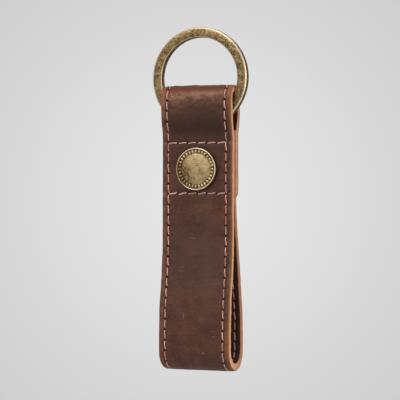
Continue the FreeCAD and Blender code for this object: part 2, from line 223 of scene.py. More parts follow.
fold_length = float(route[top_row, 0])
bend_length = float(route[low_row, 0])
print(f"the bottom bend is {bend_length:.1f} mm along the strip and the fold {fold_length:.1f} mm")

# %% [markdown]
# ## Where the stitches fall
#
# A machine makes stitches of one length, so the awl holes of an edge seam are evenly spaced along the strip.
# The two rows across the strap share the sewing machine's pitch, fitted to the width between the seams. The
# leather, the thread and the paint all read the same spacing, which keeps each stitch in its own holes.

# %% Stitch spacing
STITCH = 3.6
SEAM_START = 1.4                # the first hole's distance from the strip's hidden end
ROW_STITCHES = 6

seam_stitches = int((strip_length - 2 * SEAM_START) / STITCH)
row_pitch = 2 * seam_x / ROW_STITCHES
row_lengths = {
    "upper": (front_length(upper_row_z), flap_length(upper_row_z)),
    "lower": (front_length(lower_row_z), flap_length(lower_row_z)),
}
print(seam_stitches, "stitches in each edge seam, rows at", row_lengths)


def nearest_hole(place, pitch, first):
    """Signed distance from a place to the nearest hole of an evenly pitched seam."""
    return (place - first + pitch / 2) % pitch - pitch / 2

# %% [markdown]
# ## The leather
#
# Leather that has been sewn is not flat: the thread pulls a shallow valley along each seam, every awl hole
# is a small pit, and the surface swells between them. A height function says how far the grain stands above
# or below the plain strip at any place, and the mesh is the strip's section swept along the route with that
# height added. A subdivided box couldn't hold such fine, regular relief, and a bump map alone would vanish
# from the outline, so the relief is real and the bump only adds pores and fine creases.
#
# Where two layers are pressed together the thread has nowhere to stand, so there it sinks into a deeper
# groove, and nothing is allowed to rise above the plain face.

# %% Where the layers press on each other
SOFT = 3.0                      # how gradually pressing begins, in mm
GRAIN, FLESH = 1, -1            # the two sides of the leather


def within(along, start, end):
    """1 between two lengths of the strip and 0 outside, with soft ends."""
    return np.clip((along - start) / SOFT + 1, 0, 1) * np.clip((end - along) / SOFT + 1, 0, 1)


def pressed(along, side):
    """1 where a side of the strip lies against another layer."""
    if side == GRAIN:
        return within(along, -SOFT, tongue_z - flap_z)
    return np.maximum.reduce([
        within(along, -SOFT, tongue_z - back_part_z),
        within(along, front_length(back_part_z), front_length(taper_end_z)),
        within(along, flap_length(taper_end_z), strip_length + SOFT),
    ])


# %% The relief of the seams and rows
SEAM_VALLEY = 0.2               # how deep the thread pulls an open edge seam
PRESSED_VALLEY = 0.6            # and one that another layer presses on
ROW_VALLEY = 0.18
HOLE_PIT = 0.45                 # how deep an awl hole goes
HOLE_ACROSS, HOLE_ALONG = 0.34, 0.42
SEAM_WIDTH, ROW_WIDTH = 0.6, 0.7
SWELL = 0.05                    # beside a seam, between its holes
SWELL_PLACE, SWELL_WIDTH = 1.2, 0.7
ROW_REST = 0.4                  # the share of a row's valley that is left at the strap's edge
PAST_SEAM = 0.4                 # how far past the edge seams a row's holes may reach


def bump(distance, width):
    """A smooth hill of height 1 with a given half width."""
    return np.exp(-(distance / width) ** 2)


def pit(off, hole):
    """An awl hole, by the distances from its seam and from its place along the seam."""
    return HOLE_PIT * bump(off, HOLE_ACROSS) * bump(hole, HOLE_ALONG)


def seam_relief(x, along, side):
    """The valley, pits and swellings of the two edge seams."""
    off = np.abs(x) - seam_x
    hole = nearest_hole(along, STITCH, SEAM_START)
    deep = SEAM_VALLEY + (PRESSED_VALLEY - SEAM_VALLEY) * pressed(along, side)
    swell = SWELL * bump(np.abs(off) - SWELL_PLACE, SWELL_WIDTH) * -np.cos(2 * np.pi * hole / STITCH)
    return swell * (1 - pressed(along, side)) - deep * bump(off, SEAM_WIDTH) - pit(off, hole)


def row_relief(x, along):
    """The valleys and pits of the rows across the front and the flap."""
    inside = np.clip((half_width - np.abs(x)) / (half_width - seam_x), 0, 1)
    hole = nearest_hole(x, row_pitch, -seam_x)
    total = 0
    for places in row_lengths.values():
        for place in places:
            off = along - place
            total = total - ROW_VALLEY * bump(off, ROW_WIDTH) * (ROW_REST + (1 - ROW_REST) * inside)
            total = total - pit(off, hole) * (np.abs(x) < seam_x + PAST_SEAM)
    return total


# %% The relief round the stud
STUD_DIP, DIP_WIDTH = 0.14, 0.8
STUD_SWELL, STUD_SWELL_WIDTH = 0.06, 1.2
STUD_SWELL_PLACE = 2.2          # outside the metal's edge


def stud_relief(x, along):
    """The leather dips towards the cap and the tack's head, which press on it, and swells around them."""
    total = 0
    for place, size in ((front_length(stud_z), cap_radius), (flap_length(stud_z), tack_radius)):
        off = np.hypot(x, along - place) - size
        dip = STUD_DIP * bump(np.maximum(off, 0), DIP_WIDTH)
        total = total - dip + STUD_SWELL * bump(off - STUD_SWELL_PLACE, STUD_SWELL_WIDTH)
    return total


# %% The slow relief of both sides
CROWN = 0.08                    # how far the middle stands above the seams
UNEVEN, LUMPY = 0.09, 0.03      # the grain's slow and its quicker unevenness
EDGE_ROLL = 0.16
FLESH_ROUGH = 0.05
LOOSE_SWELL = 0.35              # the leather is thicker where no thread squeezes it
LOOSE_REACH = 50                # along both legs from the bottom bend
BEND_SWELL, BEND_REACH = 0.25, 14.0     # it bulges inside the bottom bend
WRINKLE, FOLD_REACH = 0.26, 7.5         # and creases over the fold
EDGE_START = 0.6                # from the seam to where the margin rolls down


def slow_noise(x, along, scale, seed):
    """Gentle unevenness, between -1 and 1, with hills about a scale apart."""
    flat = np.broadcast_arrays(x, along)
    places = zip(flat[0].ravel(), flat[1].ravel())
    values = [noise.noise(Vector((a / scale, b / scale, seed))) for a, b in places]
    return np.array(values).reshape(flat[0].shape)


def flesh_relief(x, along):
    """The slow shape of the flesh side in the open: rough, thicker when loose, and squeezed in the bend."""
    rough = FLESH_ROUGH * slow_noise(x, along, 1.3, seed=11.0)
    rough = rough + 0.5 * FLESH_ROUGH * slow_noise(x, along, 0.6, seed=5.0)
    loose = np.clip((bend_length - along) / LOOSE_REACH, -1, 1)
    return rough + LOOSE_SWELL * (1 - loose ** 2) + BEND_SWELL * bump(along - bend_length, BEND_REACH)


def grain_relief(x, along):
    """The slow shape of the grain side in the open: crowned, uneven, and wrinkled over the fold."""
    crown = CROWN * (1 - np.clip(np.abs(x) / seam_x, 0, 1) ** 2)
    uneven = UNEVEN * slow_noise(x, along, 9.0, seed=3.0) + LUMPY * slow_noise(x, along, 2.6, seed=7.0)
    inside = (np.abs(x) < seam_x) * np.clip((seam_x - np.abs(x)) / 2, 0, 1)
    folded = bump(along - fold_length - 0.5, FOLD_REACH) * inside
    creased = slow_noise(x * 0.55 + along * 0.25, along, 1.15, seed=5.0)
    creased = creased + 0.6 * slow_noise(x * 0.4 - along * 0.2, along, 0.7, seed=9.0)
    return crown + uneven + WRINKLE * folded * creased + stud_relief(x, along)


def broad_relief(x, along, side):
    """The slow shape of a side, which the stitches follow as well; nothing rises where layers press."""
    free = 1 - pressed(along, side)
    if side == FLESH:
        return free * flesh_relief(x, along)
    edge = np.clip((np.abs(x) - seam_x - EDGE_START) / (half_width - seam_x - EDGE_START), 0, 1)
    return free * grain_relief(x, along) - EDGE_ROLL * edge ** 2


def relief(x, along, side):
    """All that lifts or lowers one side of the strip, in millimetres."""
    total = broad_relief(x, along, side) + seam_relief(x, along, side)
    return total + row_relief(x, along) if side == GRAIN else total


print("the middle of the fold stands", round(float(relief(0, fold_length, GRAIN)), 2), "mm proud")

# %% The section of the strip
FINE, COARSE = 0.24, 0.62       # spacing of the mesh near a seam and in the middle
FINE_REACH = 1.7                # from the seam towards the middle
EDGE_ROUND = 0.4
CORNER_STEPS = 4
CUT_STEPS = 4


def graded(limit):
    """Places from 0 to limit, close together near the seam."""
    places = [0.0]
    while places[-1] < limit:
        by_seam = abs(places[-1] - seam_x) < FINE_REACH or places[-1] > seam_x
        places.append(places[-1] + (FINE if by_seam else COARSE))
    return np.array(places) * limit / places[-1]


def section():
    """Once round the strip: places across it, and the level from 1 on the grain to -1 on the flesh side."""
    half = graded(half_width - EDGE_ROUND)
    across = np.concatenate([half[::-1], -half[1:]])            # the grain side, from right to left
    flat = np.stack([across, np.ones_like(across)], 1)
    share = EDGE_ROUND / half_leather
    angles = np.linspace(0, math.pi / 2, CORNER_STEPS + 1)[1:]
    corner = np.stack([-(half_width - EDGE_ROUND) - EDGE_ROUND * np.sin(angles),
                       1 - share * (1 - np.cos(angles))], 1)
    levels = np.linspace(1 - share, -(1 - share), CUT_STEPS + 1)[1:-1]
    cut = np.stack([np.full_like(levels, -half_width), levels], 1)
    side = np.concatenate([corner, cut, corner[::-1] * (1, -1)])
    return np.concatenate([flat, side, flat[::-1] * (1, -1), (side * (-1, 1))[::-1]])


ring_of_places = section()
print(len(ring_of_places), "points round the strip")

# %% [markdown]
# The mesh is a grid: one loop of the section for each station along the strip. Three numbers are kept on
# every point, as an attribute named strip: the place across, the length along, and the level from grain to
# flesh. The paint reads them, so seams, worn edges and the cut's fibres lie exactly where the mesh has them,
# and they stay there when the strap moves.

# %% Meshes from loops of points


def store(mesh, name, values):
    """Keep a vector for every point of a mesh."""
    layer = mesh.attributes.new(name, "FLOAT_VECTOR", "POINT")
    layer.data.foreach_set("vector", np.ascontiguousarray(values, np.float32).ravel())


def face_out(mesh):
    """Turn every face of a closed mesh outwards and shade it smooth."""
    work = bmesh.new()
    work.from_mesh(mesh)
    bmesh.ops.recalc_face_normals(work, faces=work.faces)
    work.to_mesh(mesh)
    work.free()
    mesh.shade_smooth()


def link(name, mesh):
    """A new object for a mesh, at the origin."""
    piece = bpy.data.objects.new(name, mesh)
    bpy.context.scene.collection.objects.link(piece)
    return piece


def tube(name, points, mark_name, marks):
    """A closed tube from loops of points in millimetres, capped at both ends, with one vector attribute."""
    loops, around = points.shape[:2]
    row, col = np.meshgrid(np.arange(loops - 1) * around, np.arange(around), indexing="ij")
    beside = (col + 1) % around
    quads = np.stack([row + col, row + beside, row + around + beside, row + around + col], 2).reshape(-1, 4)
    ends = [tuple(range(around)), tuple(range((loops - 1) * around, loops * around))]
    mesh = bpy.data.meshes.new(name)
    mesh.from_pydata((points.reshape(-1, 3) * MM).tolist(), [], quads.tolist() + ends)
    store(mesh, mark_name, marks.reshape(-1, 3))
    face_out(mesh)
    return link(name, mesh)


# %% The strip's mesh
STATION = 0.42                  # along the strip, from one loop of the mesh to the next
END_ROUND = 0.45                # at the flap's end
END_STEPS = 5
WANDER, WAVER = 0.12, 0.07      # how far the cut edge strays, slowly and more quickly
FRAY = 0.05                     # and in its fibres


def flap_width(along):
    """Half the strip's width, which shrinks round the flap's two corners."""
    left = np.clip(FLAP_CORNER - (strip_length - along), 0, FLAP_CORNER)
    return half_width - FLAP_CORNER + np.sqrt(np.maximum(FLAP_CORNER ** 2 - left ** 2, 0))


def strip_mesh():
    """The loops of points of the whole strip, and their marks: across, along, level."""
    turn = np.linspace(0, math.pi / 2, END_STEPS)
    ends = strip_length - END_ROUND * (1 - np.sin(turn))
    stations = np.concatenate([np.arange(0, strip_length - END_ROUND, STATION), ends])
    thin = np.ones((len(stations), 1))
    thin[-END_STEPS:, 0] = 1 - END_ROUND / half_leather * (1 - np.cos(turn))
    x, along = np.meshgrid(ring_of_places[:, 0], stations)
    level = np.broadcast_to(ring_of_places[:, 1], x.shape)
    hand = np.sign(x)
    margin = half_width - seam_x + 1
    beyond = np.clip((np.abs(x) - half_width) / margin + 1, 0, 1)
    wander = WANDER * slow_noise(hand * 3, along, 7.0, seed=21.0)
    wander = wander + WAVER * slow_noise(hand * 3, along, 2.5, seed=23.0)
    x = x - hand * beyond * (half_width - flap_width(along) - wander)
    depth, height, grain_y, grain_z = route_point(along)
    lift = level * half_leather * thin
    lift = lift + np.maximum(level, 0) * relief(x, along, GRAIN)
    lift = lift - np.maximum(-level, 0) * relief(x, along, FLESH)
    fibres = slow_noise(along, level * 3 + hand * 5, 0.7, seed=2.0)
    frayed = FRAY * np.clip(1 - np.abs(level), 0, 1) * fibres
    points = np.stack([x + hand * frayed, depth + grain_y * lift, height + grain_z * lift], 2)
    return points, np.stack([x, along, level], 2)


strip_points, strip_marks = strip_mesh()
strap = tube("strap_leather", strip_points, "strip", strip_marks)
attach(strap, "strap")
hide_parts("leather_strap")
print("strap:", len(strap.data.vertices), "points")

# %% [markdown]
# ## Expressions for node trees
#
# Node trees are sums and products of sockets. Wrapping a socket in a small class with Python's operators lets
# a mask be written as 1 - wear * 0.5, which adds the Math nodes by itself. Every other node comes from one
# method, node, that takes its type, its settings and its inputs. The same class serves the geometry trees
# that make the stitches and the shader trees that paint.

# %% Wires: sockets that can be used in expressions


def sign(operation, flip=False):
    """A method of Wire that adds one Math node; flip puts the wire last, as in 1 - wire."""
    return lambda self, other: self.math(operation, other, flip=flip)


class Wire:
    """A socket that can be used in an expression."""

    __add__ = __radd__ = sign("ADD")
    __mul__ = __rmul__ = sign("MULTIPLY")
    __sub__, __rsub__ = sign("SUBTRACT"), sign("SUBTRACT", True)
    __pow__ = sign("POWER")
    __mod__ = sign("FLOORED_MODULO")
    least, most = sign("MINIMUM"), sign("MAXIMUM")

    def __init__(self, bench, socket):
        self.bench, self.socket = bench, socket

    def math(self, operation, *others, flip=False):
        """A Math node on this value and others."""
        values = [self, *others][::-1] if flip else [self, *others]
        return self.bench.node("ShaderNodeMath", {"operation": operation}, dict(enumerate(values)))

    def __abs__(self):
        return self.math("ABSOLUTE")

    def step(self, low, high):
        """0 below low, 1 above high, smooth between; low may be the larger."""
        return self.bench.node("ShaderNodeMapRange", {"interpolation_type": "SMOOTHSTEP"}, {
            "Value": self, "From Min": low, "From Max": high})

    def hill(self, width):
        """1 where the value is 0, falling to 0 at width on both sides."""
        return abs(self).step(width, 0.0)

    def parts(self):
        """The three numbers of a vector."""
        split = self.bench.node("ShaderNodeSeparateXYZ", {}, {"Vector": self})
        return [Wire(self.bench, socket) for socket in split.socket.node.outputs]


# %% Benches: node trees that grow by calls


class Bench:
    """A node tree that grows by calls."""

    def __init__(self, tree):
        self.tree = tree

    def node(self, kind, settings=None, inputs=None, out=0):
        """Add a node: its settings, then its inputs by name or number; gives back one output."""
        made = self.tree.nodes.new(kind)
        for name, value in (settings or {}).items():
            setattr(made, name, value)
        for name, value in (inputs or {}).items():
            socket = made.inputs[name] if isinstance(name, int) else next(
                s for s in made.inputs if s.enabled and s.name == name)
            if isinstance(value, Wire):
                self.tree.links.new(value.socket, socket)
            else:
                socket.default_value = value
        if out is None:
            return None
        shown = [s for s in made.outputs if s.enabled]
        return Wire(self, shown[out] if isinstance(out, int) else next(s for s in shown if s.name == out))

    def vector(self, operation, first, second, out=0):
        """A Vector Math node on two vectors."""
        return self.node("ShaderNodeVectorMath", {"operation": operation}, {0: first, 1: second}, out)

    def scaled(self, vector, amount):
        """A vector or a colour times a number."""
        return self.node("ShaderNodeVectorMath", {"operation": "SCALE"}, {0: vector, "Scale": amount})

    def combine(self, x, y, z):
        """A vector from three numbers."""
        return self.node("ShaderNodeCombineXYZ", {}, {0: x, 1: y, 2: z})

    def tell(self, name):
        """Print how far the tree has grown."""
        print(name, "has", len(self.tree.nodes), "nodes")


# %% [markdown]
# A geometry tree also has named inputs, so that one tree serves every thread. It ends in real geometry with
# its finish on it, because instances and loose materials would be lost when the piece is exported.

# %% A bench for geometry


class MeshBench(Bench):
    """A geometry tree with named inputs, which ends in real geometry with one finish."""

    def __init__(self, name, **inputs):
        super().__init__(bpy.data.node_groups.new(name, "GeometryNodeTree"))
        face = self.tree.interface
        face.new_socket("Geometry", in_out="OUTPUT", socket_type="NodeSocketGeometry")
        face.new_socket("Geometry", in_out="INPUT", socket_type="NodeSocketGeometry")
        for kind, labels in inputs.items():
            for label in labels.split():
                face.new_socket(label, in_out="INPUT", socket_type=f"NodeSocket{kind}")
        start = self.node("NodeGroupInput")
        self.given = {s.name: Wire(self, s) for s in start.socket.node.outputs}

    def stored(self, name):
        """A vector that the points carry."""
        return self.node("GeometryNodeInputNamedAttribute", {"data_type": "FLOAT_VECTOR"}, {"Name": name})

    def store(self, geometry, name, value, kind="FLOAT"):
        """The same geometry, with a value kept on its points."""
        return self.node("GeometryNodeStoreNamedAttribute", {"data_type": kind, "domain": "POINT"}, {
            "Geometry": geometry, "Name": name, "Value": value})

    def luck(self, low, high, **inputs):
        """A random number for each point or line, from the tree's seed."""
        return self.node("FunctionNodeRandomValue", {"data_type": "FLOAT"}, {
            "Min": low, "Max": high, **inputs, "Seed": self.given["Seed"]})

    def end(self, geometry, finish):
        """Make instances real, shade them smooth, give them their finish and end the tree."""
        real = self.node("GeometryNodeRealizeInstances", {}, {"Geometry": geometry})
        smooth = self.node("GeometryNodeSetShadeSmooth", {}, {"Geometry": real, "Shade Smooth": True})
        finished = self.node("GeometryNodeSetMaterial", {}, {"Geometry": smooth, "Material": finish})
        self.node("NodeGroupOutput", {}, {"Geometry": finished}, None)
        self.tell(self.tree.name)
        return self.tree


# %% [markdown]
# ## The stitches
#
# Every stitch is a short piece of thread that comes up through one awl hole, lies along the leather and goes
# down through the next. Geometry Nodes make them all: the guide is a set of short open lines, one for each
# stitch, that lie on the leather and so bend with it round the folds. Each guide point carries the way out of
# the leather and the way across the seam. The tree turns the lines into curves, lets their ends dive into the
# holes, slants each one a little differently from a fixed seed, and sweeps an oval along them that turns as
# it goes, which is how two twisted plies look. An instance of one fixed stitch would be simpler, but it would
# cut through the leather where the strap bends.

# %% The tree that turns guide lines into thread
RISE_SHAPE = 7.0                # how squarely a stitch rises out of its holes
THREAD_SIDES = 8

thread_finish = bpy.data.materials.new("thread_finish")


def stitch_tree():
    """A geometry tree with inputs for the thread's width, its oval, its lie and its seed."""
    bench = MeshBench("stitches", Float="Thread Oval Dip Slant Jitter Turns", Int="Seed")
    given = bench.given
    lines = bench.node("GeometryNodeMeshToCurve", {}, {"Mesh": given["Geometry"]})
    place = bench.node("GeometryNodeSplineParameter")
    stitch = bench.node("GeometryNodeCurveOfPoint", {}, {}, "Curve Index")
    centred = place * 2 - 1
    luck = bench.luck(-1.0, 1.0, ID=stitch)
    drop = abs(centred) ** RISE_SHAPE * given["Dip"]
    lean = centred * (given["Slant"] + luck * given["Jitter"])
    offset = bench.vector("ADD", bench.scaled(bench.stored("outward"), drop * -1),
                          bench.scaled(bench.stored("across"), lean))
    moved = bench.node("GeometryNodeSetPosition", {}, {"Geometry": lines, "Offset": offset})
    turned = bench.node("GeometryNodeSetCurveTilt", {}, {
        "Curve": moved, "Tilt": (place * given["Turns"] + luck) * (2 * math.pi)})
    toned = bench.store(turned, "thread_tone", luck)
    ended = bench.store(toned, "thread_end", abs(centred))
    circle = bench.node("GeometryNodeCurvePrimitiveCircle", {"mode": "RADIUS"}, {
        "Resolution": THREAD_SIDES, "Radius": 1.0})
    x, y, _ = bench.node("GeometryNodeInputPosition").parts()
    # the place round the two plies, for the painted highlight and shade of the thread's finish
    plied = bench.store(circle, "thread_ply", x * x - y * y)
    size = bench.combine(given["Thread"] * 0.5, given["Thread"] * given["Oval"] * 0.5, 1.0)
    oval = bench.node("GeometryNodeTransform", {}, {"Geometry": plied, "Scale": size})
    swept = bench.node("GeometryNodeCurveToMesh", {}, {
        "Curve": ended, "Profile Curve": oval, "Fill Caps": True})
    return bench.end(swept, thread_finish)


stitches = stitch_tree()

# %% [markdown]
# A seam is a list of awl holes. Each stitch's guide line has nine points between two holes, laid on the
# leather's slow relief, or sunk into the deep groove where layers press on each other.

# %% Guide lines for a seam
GUIDE_POINTS = 9
SEAT = 0.08                     # how far a thread's middle lies below the open face
SUNK = 0.3                      # and how much further where layers press on it


def guide_lines(name, holes, side):
    """A mesh of open lines along stitches, each between two holes given as (across, along)."""
    share = np.linspace(0, 1, GUIDE_POINTS)
    first, last = np.array(holes).transpose(1, 2, 0)[..., None]
    x, along = first + (last - first) * share
    depth, height, grain_y, grain_z = route_point(along)
    lift = side * (half_leather + broad_relief(x, along, side) - SEAT - SUNK * pressed(along, side))
    places = np.stack([x, depth + grain_y * lift, height + grain_z * lift], 2)
    outward = side * np.stack([np.zeros_like(x), grain_y, grain_z], 2)
    heading = np.gradient(places, axis=1)
    heading /= np.linalg.norm(heading, axis=2, keepdims=True)
    starts = range(0, len(holes) * GUIDE_POINTS, GUIDE_POINTS)
    chain = [(k, k + 1) for start in starts for k in range(start, start + GUIDE_POINTS - 1)]
    mesh = bpy.data.meshes.new(name)
    mesh.from_pydata((places.reshape(-1, 3) * MM).tolist(), chain, [])
    store(mesh, "outward", outward.reshape(-1, 3))
    store(mesh, "across", np.cross(outward, heading).reshape(-1, 3))
    return link(name, mesh)


# %% Running a geometry tree and keeping what it makes


def plain_mesh(piece):
    """Turn what a piece's modifiers make into its own plain mesh, and remove the modifiers."""
    seen = piece.evaluated_get(bpy.context.evaluated_depsgraph_get())
    mesh = bpy.data.meshes.new_from_object(seen)
    piece.modifiers.clear()
    piece.data = mesh
    mesh.name = piece.name
    return piece


def grow(piece, tree, **inputs):
    """Run a geometry tree on a piece, with its inputs given by name, and keep the result."""
    modifier = piece.modifiers.new(tree.name, "NODES")
    modifier.node_group = tree
    for item in tree.interface.items_tree:
        if item.in_out == "INPUT" and item.name in inputs:
            modifier[item.identifier] = inputs[item.name]
    return plain_mesh(piece)


# %% Sewing one thread
THREAD_WIDTH = 0.48
THREAD_OVAL = 0.78              # its thickness, as a share of its width
THREAD_DIP = 0.75               # how deep its ends go into the holes
THREAD_SLANT, THREAD_JITTER = 0.1, 0.09
THREAD_TURNS = 0.9              # of its two plies in one stitch


def sew(name, node, holes, side, seed, width=THREAD_WIDTH, slant=THREAD_SLANT):
    """One thread of a seam, in the place of the CAD's thread node."""
    thread = guide_lines(name, holes, side)
    grow(thread, stitches, Thread=width * MM, Oval=THREAD_OVAL, Dip=THREAD_DIP * MM, Slant=slant * MM,
         Jitter=THREAD_JITTER * MM, Turns=THREAD_TURNS, Seed=seed)
    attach(thread, "strap")
    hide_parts(node)
    print(name, len(thread.data.polygons), "faces")


# %% The seams and rows
HOLE_TUCK = 0.17                # a stitch starts this far from its hole's middle
ROW_THREADS = {"upper": (0.14, 0.5), "lower": (0.28, 0.62)}     # slant and width of the coarser rows


def edge_holes(x):
    """The stitches of an edge seam, as pairs of holes."""
    starts = SEAM_START + STITCH * np.arange(seam_stitches)
    return [((x, a + HOLE_TUCK), (x, a + STITCH - HOLE_TUCK)) for a in starts]


def row_holes(along):
    """The stitches of a row across the strap, as pairs of holes."""
    starts = -seam_x + row_pitch * np.arange(ROW_STITCHES)
    return [((x + HOLE_TUCK, along), (x + row_pitch - HOLE_TUCK, along)) for x in starts]


for seed, (hand, x) in enumerate((("left", -seam_x), ("right", seam_x))):
    sew(f"{hand}_seam_stitches", f"{hand}_seam_needle_thread", edge_holes(x), GRAIN, seed)
    sew(f"{hand}_seam_under_stitches", f"{hand}_seam_bobbin_thread", edge_holes(x), FLESH, seed + 10)
for seed, (row, (slant, width)) in enumerate(ROW_THREADS.items(), 20):
    front, back = row_lengths[row]
    sew(f"{row}_row_stitches", f"{row}_row_needle_thread", row_holes(front), GRAIN, seed, width, slant)
    sew(f"{row}_row_back_stitches", f"{row}_row_bobbin_thread", row_holes(back), GRAIN, seed + 10, width)

# %% [markdown]
# ## The split ring
#
# A split ring is one flat strip of metal that goes round nearly twice, so that two coils lie on each other. A
# short slope takes it from the front coil to the back one, hidden here inside the leather eye. Seen from the
# front it is a flat band with wide bevels on its outer and inner edge, and from the side a thin dark line
# shows between the coils. A torus has none of that, so the ring is a section swept twice round, and each
# point keeps how far along the strip it is, how far across the band, and how near to a bevel, for the wear.
# On the walls that last mark drops below zero, and there it stands for painted shade.

# %% The ring's section
RING_BAND = 3.5
COIL_GAP = 0.1
RING_BEVEL = 0.68
HOLE_BEVEL = 0.42               # round the ring's hole
INNER_BEVEL = 0.15              # between the two coils
BEVEL_STEPS = 6
BEVEL_FLATNESS = 0.5            # 0 is a quarter circle, 1 a plain chamfer
HOLE_RUBBED = 0.8               # how far the hole's bevels are worn, where the outer ones are 1
OUTER_WALL_SHADE = 0.55            # how dark the outer wall is painted, where the hole's wall is 1; both walls are painted shade

hole_radius = rim_radius - RING_BAND
coil = ring_face - COIL_GAP / 2


def coil_section(front, back):
    """Once round the metal: outward, backward, and the wear: 1 on a rubbed bevel, 0 on a face, -1 on the
    hole's wall and less on the outer wall, where the mark stands for painted shade.

    front and back are 1 where that face is bevelled and 0 where it lies on the other coil.
    """
    sizes = [bevel * RING_BEVEL + (1 - bevel) * INNER_BEVEL for bevel in (front, back)]
    sizes += [bevel * HOLE_BEVEL + (1 - bevel) * INNER_BEVEL for bevel in (back, front)]
    corners = [((RING_BAND, -coil / 2), (1, 0), (0, 1), sizes[0], front),
               ((RING_BAND, coil / 2), (0, 1), (-1, 0), sizes[1], back),
               ((0, coil / 2), (-1, 0), (0, -1), sizes[2], HOLE_RUBBED * back),
               ((0, -coil / 2), (0, -1), (1, 0), sizes[3], HOLE_RUBBED * front)]
    share = np.linspace(0, 1, BEVEL_STEPS)[:, None]
    angle = share * math.pi / 2
    rows = []
    for corner, arriving, leaving, size, rubbed in corners:
        corner, arriving, leaving = (np.array(v, float) for v in (corner, arriving, leaving))
        start, stop = corner - size * arriving, corner + size * leaving
        arc = start + size * leaving * (1 - np.cos(angle)) + size * arriving * np.sin(angle)
        points = arc + (start + (stop - start) * share - arc) * BEVEL_FLATNESS
        wall = share if arriving[0] else 1 - share
        wall_shade = OUTER_WALL_SHADE if corner[0] else 1.0
        wear_and_shade = rubbed * np.sqrt(np.sin(math.pi * share)) - wall_shade * (wall == 1)
        rows.append(np.concatenate([points, wear_and_shade], 1))
    return np.concatenate(rows)


# %% The ring
CROSSOVER = 24.0                # degrees that the slope from coil to coil takes
COIL_END_GAP = 3.0              # degrees from the slope to each end of the strip
RING_STEP = 1.5                 # degrees


def ring_loops():
    """The sections along both coils, and the marks: along the strip, across the band, wear and painted shade.
    """
    first, last = CROSSOVER / 2 + COIL_END_GAP, 720 - CROSSOVER / 2 - COIL_END_GAP
    loops, marks = [], []
    for degrees in np.linspace(first, last, round((last - first) / RING_STEP) + 1):
        share = np.clip((degrees - 360) / CROSSOVER + 0.5, 0, 1)
        share = share * share * (3 - 2 * share)
        out, back, wear_and_shade = coil_section(1 - share, share).T
        turn, radius = math.radians(degrees), hole_radius + out
        y = back + (2 * share - 1) * (coil + COIL_GAP) / 2
        loops.append(np.stack([radius * math.sin(turn), y, ring_centre - radius * math.cos(turn)], 1))
        marks.append(np.stack([np.full_like(out, turn * (hole_radius + RING_BAND / 2)), out, wear_and_shade], 1))
    return np.array(loops), np.array(marks)


ring_points, ring_marks = ring_loops()
ring = tube("split_ring_metal", ring_points, "metal", ring_marks)
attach(ring, "key_ring")
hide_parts("split_ring")
print("ring:", len(ring.data.polygons), "faces")

# %% [markdown]
# ## The stud
#
# The stud is two turned pieces that meet through the leather: a pressed cap in front and a tack with a domed
# head behind. A turned piece is a profile spun about its axis. A profile's third number says how worn that
# place is: the rim and the crown of the dome are rubbed bright, and the sunk band keeps its dark patina.

# %% Turned pieces
TURN_STEPS = 96


def turned(name, profile, face_y, outward):
    """A profile of (radius, height, wear) spun about the stud's axis, standing on a face of the strap."""
    profile = np.array(profile)
    angles = np.linspace(0, 2 * math.pi, TURN_STEPS, endpoint=False)
    ring_rows = profile[1:-1]
    x = ring_rows[:, :1] * np.cos(angles)
    z = ring_rows[:, :1] * np.sin(angles) + stud_z
    y = face_y + outward * np.broadcast_to(ring_rows[:, 1:2], x.shape)
    points = np.stack([x, y, z], 2).reshape(-1, 3)
    marks = np.repeat(ring_rows, TURN_STEPS, axis=0)
    poles = [(0, face_y + outward * profile[k, 1], stud_z) for k in (0, -1)]
    points = np.concatenate([points, poles])
    marks = np.concatenate([marks, profile[[0, -1]]])
    count = len(ring_rows)
    faces = []
    for k in range(TURN_STEPS):
        after = (k + 1) % TURN_STEPS
        faces.append((count * TURN_STEPS, k, after))
        faces.append((count * TURN_STEPS + 1, (count - 1) * TURN_STEPS + after, (count - 1) * TURN_STEPS + k))
        for row in range(count - 1):
            here, there = row * TURN_STEPS, (row + 1) * TURN_STEPS
            faces.append((here + k, there + k, there + after, here + after))
    mesh = bpy.data.meshes.new(name)
    mesh.from_pydata((points * MM).tolist(), [], faces)
    store(mesh, "metal", marks)
    face_out(mesh)
    piece = link(name, mesh)
    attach(piece, "strap")
    print(name, len(faces), "faces")
    return piece


# %% The cap
CAP_HEIGHT = 1.38               # of its rim above the leather
CAP_LIFT = 0.03
BAND_FLOOR = 1.02
DOME_RADIUS = 5.2
DOME_EDGE, DOME_TOP = 1.13, 1.36
SHEET = 0.4                     # the metal's thickness

dome = [(r, DOME_EDGE + (DOME_TOP - DOME_EDGE) * (1 - (r / DOME_RADIUS) ** 2), 0.45)
        for r in np.linspace(0, DOME_RADIUS - 0.3, 10)]
crown = [(5.05, 1.13, 0.4), (5.2, 1.11, 0.3), (5.35, 1.06, 0.1), (5.45, 1.03, -0.1)]
sunk_band = [(r, BAND_FLOOR, -0.15) for r in (5.6, 5.9, 6.2, 6.5)]
rim = [(6.7, BAND_FLOOR, -0.3), (6.8, 1.06, -0.1), (6.86, 1.15, 0.4), (6.9, 1.26, 0.8), (6.96, 1.34, 0.9),
       (7.05, CAP_HEIGHT, 0.9), (7.15, 1.35, 0.9), (7.24, 1.25, 0.7), (7.32, 1.1, 0.3), (7.39, 0.9, -0.1),
       (7.45, 0.65, -0.4)]
skirt = [(7.5, 0.25, -0.6), (7.48, 0.1, -0.5), (7.4, CAP_LIFT, -0.5), (7.16, CAP_LIFT, -0.5),
         (7.08, 0.1, -0.5)]
inside = [(7.0, 0.45, -0.5), (6.8, 0.54, -0.5), (5.0, BAND_FLOOR - SHEET, -0.5), (4.6, 0.6, -0.5),
          (0, 0.66, -0.5)]

cap = turned("stud_cap_metal", dome + crown + sunk_band + rim + skirt + inside, -stack_face, -1)
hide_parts("stud_cap")

